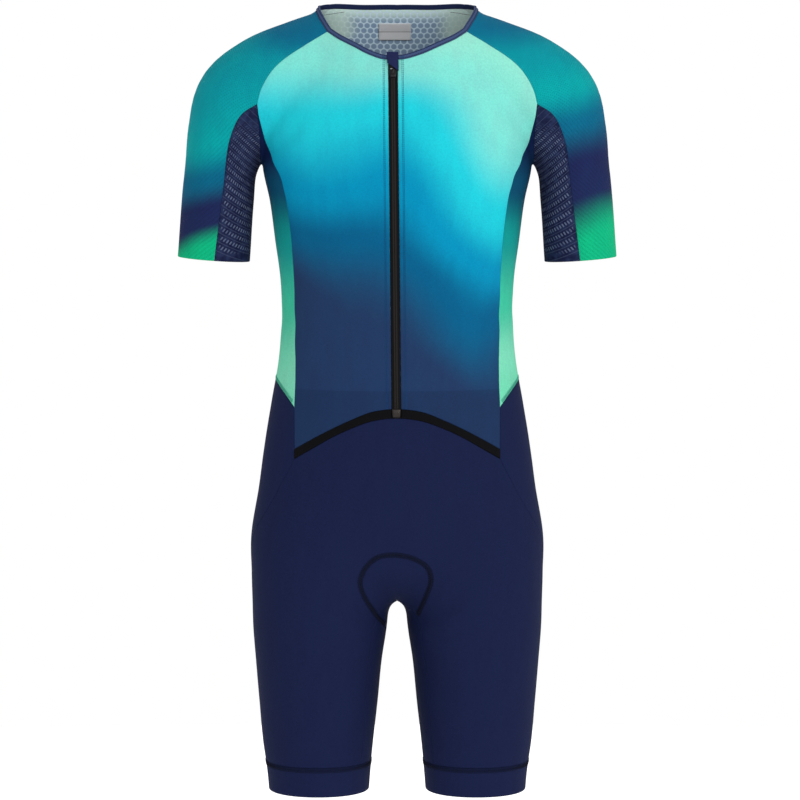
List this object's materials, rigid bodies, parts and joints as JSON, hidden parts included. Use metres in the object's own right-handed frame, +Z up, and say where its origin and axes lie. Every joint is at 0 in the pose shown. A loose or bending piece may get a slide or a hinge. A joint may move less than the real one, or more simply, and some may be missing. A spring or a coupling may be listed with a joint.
{
  "type": "triathlon suit",
  "caption": "Short-sleeved one-piece triathlon suit with thigh-length legs, front zip and colour-fade panels, filled out as worn.",
  "frame": {"origin": "between the shoulders at the height of the neck's sides, in the suit's middle plane, where the wearer carries it", "axes": "+Z up, the front faces -Y, +X towards the wearer's left"},
  "size_m": [0.4984, 0.2332, 0.8967],
  "materials": {
    "front_print": "matt knit with a colour fade",
    "back_print": "matt knit with a colour fade",
    "sleeve_print": "matt perforated knit",
    "mesh_knit": "matt open ribbed mesh",
    "side_print": "matt knit with a colour fade",
    "waist_tape": "matt woven tape",
    "navy_knit": "matt compression knit",
    "binding": "matt folded binding",
    "zip": "nylon coil on woven tape",
    "slider": "satin black",
    "stop": "satin gunmetal",
    "label": "woven satin"
  },
  "bodies": {
    "root": {"front_left": "front_print", "front_right": "front_print", "back": "back_print", "sleeve_left": "sleeve_print", "sleeve_right": "sleeve_print", "underarm_left": "mesh_knit", "underarm_right": "mesh_knit", "side_left": "side_print", "side_right": "side_print", "waist_tape_left": "waist_tape", "waist_tape_right": "waist_tape", "shorts_front": "navy_knit", "shorts_back_left": "navy_knit", "shorts_back_right": "navy_knit", "inner_leg_left": "navy_knit", "inner_leg_right": "navy_knit", "hem_band_left": "navy_knit", "hem_band_right": "navy_knit", "neck_binding": "binding", "zip": "zip", "zip_slider": "slider", "zip_garage": "binding", "zip_stop": "stop", "label": "label"}
  },
  "joints": []
}
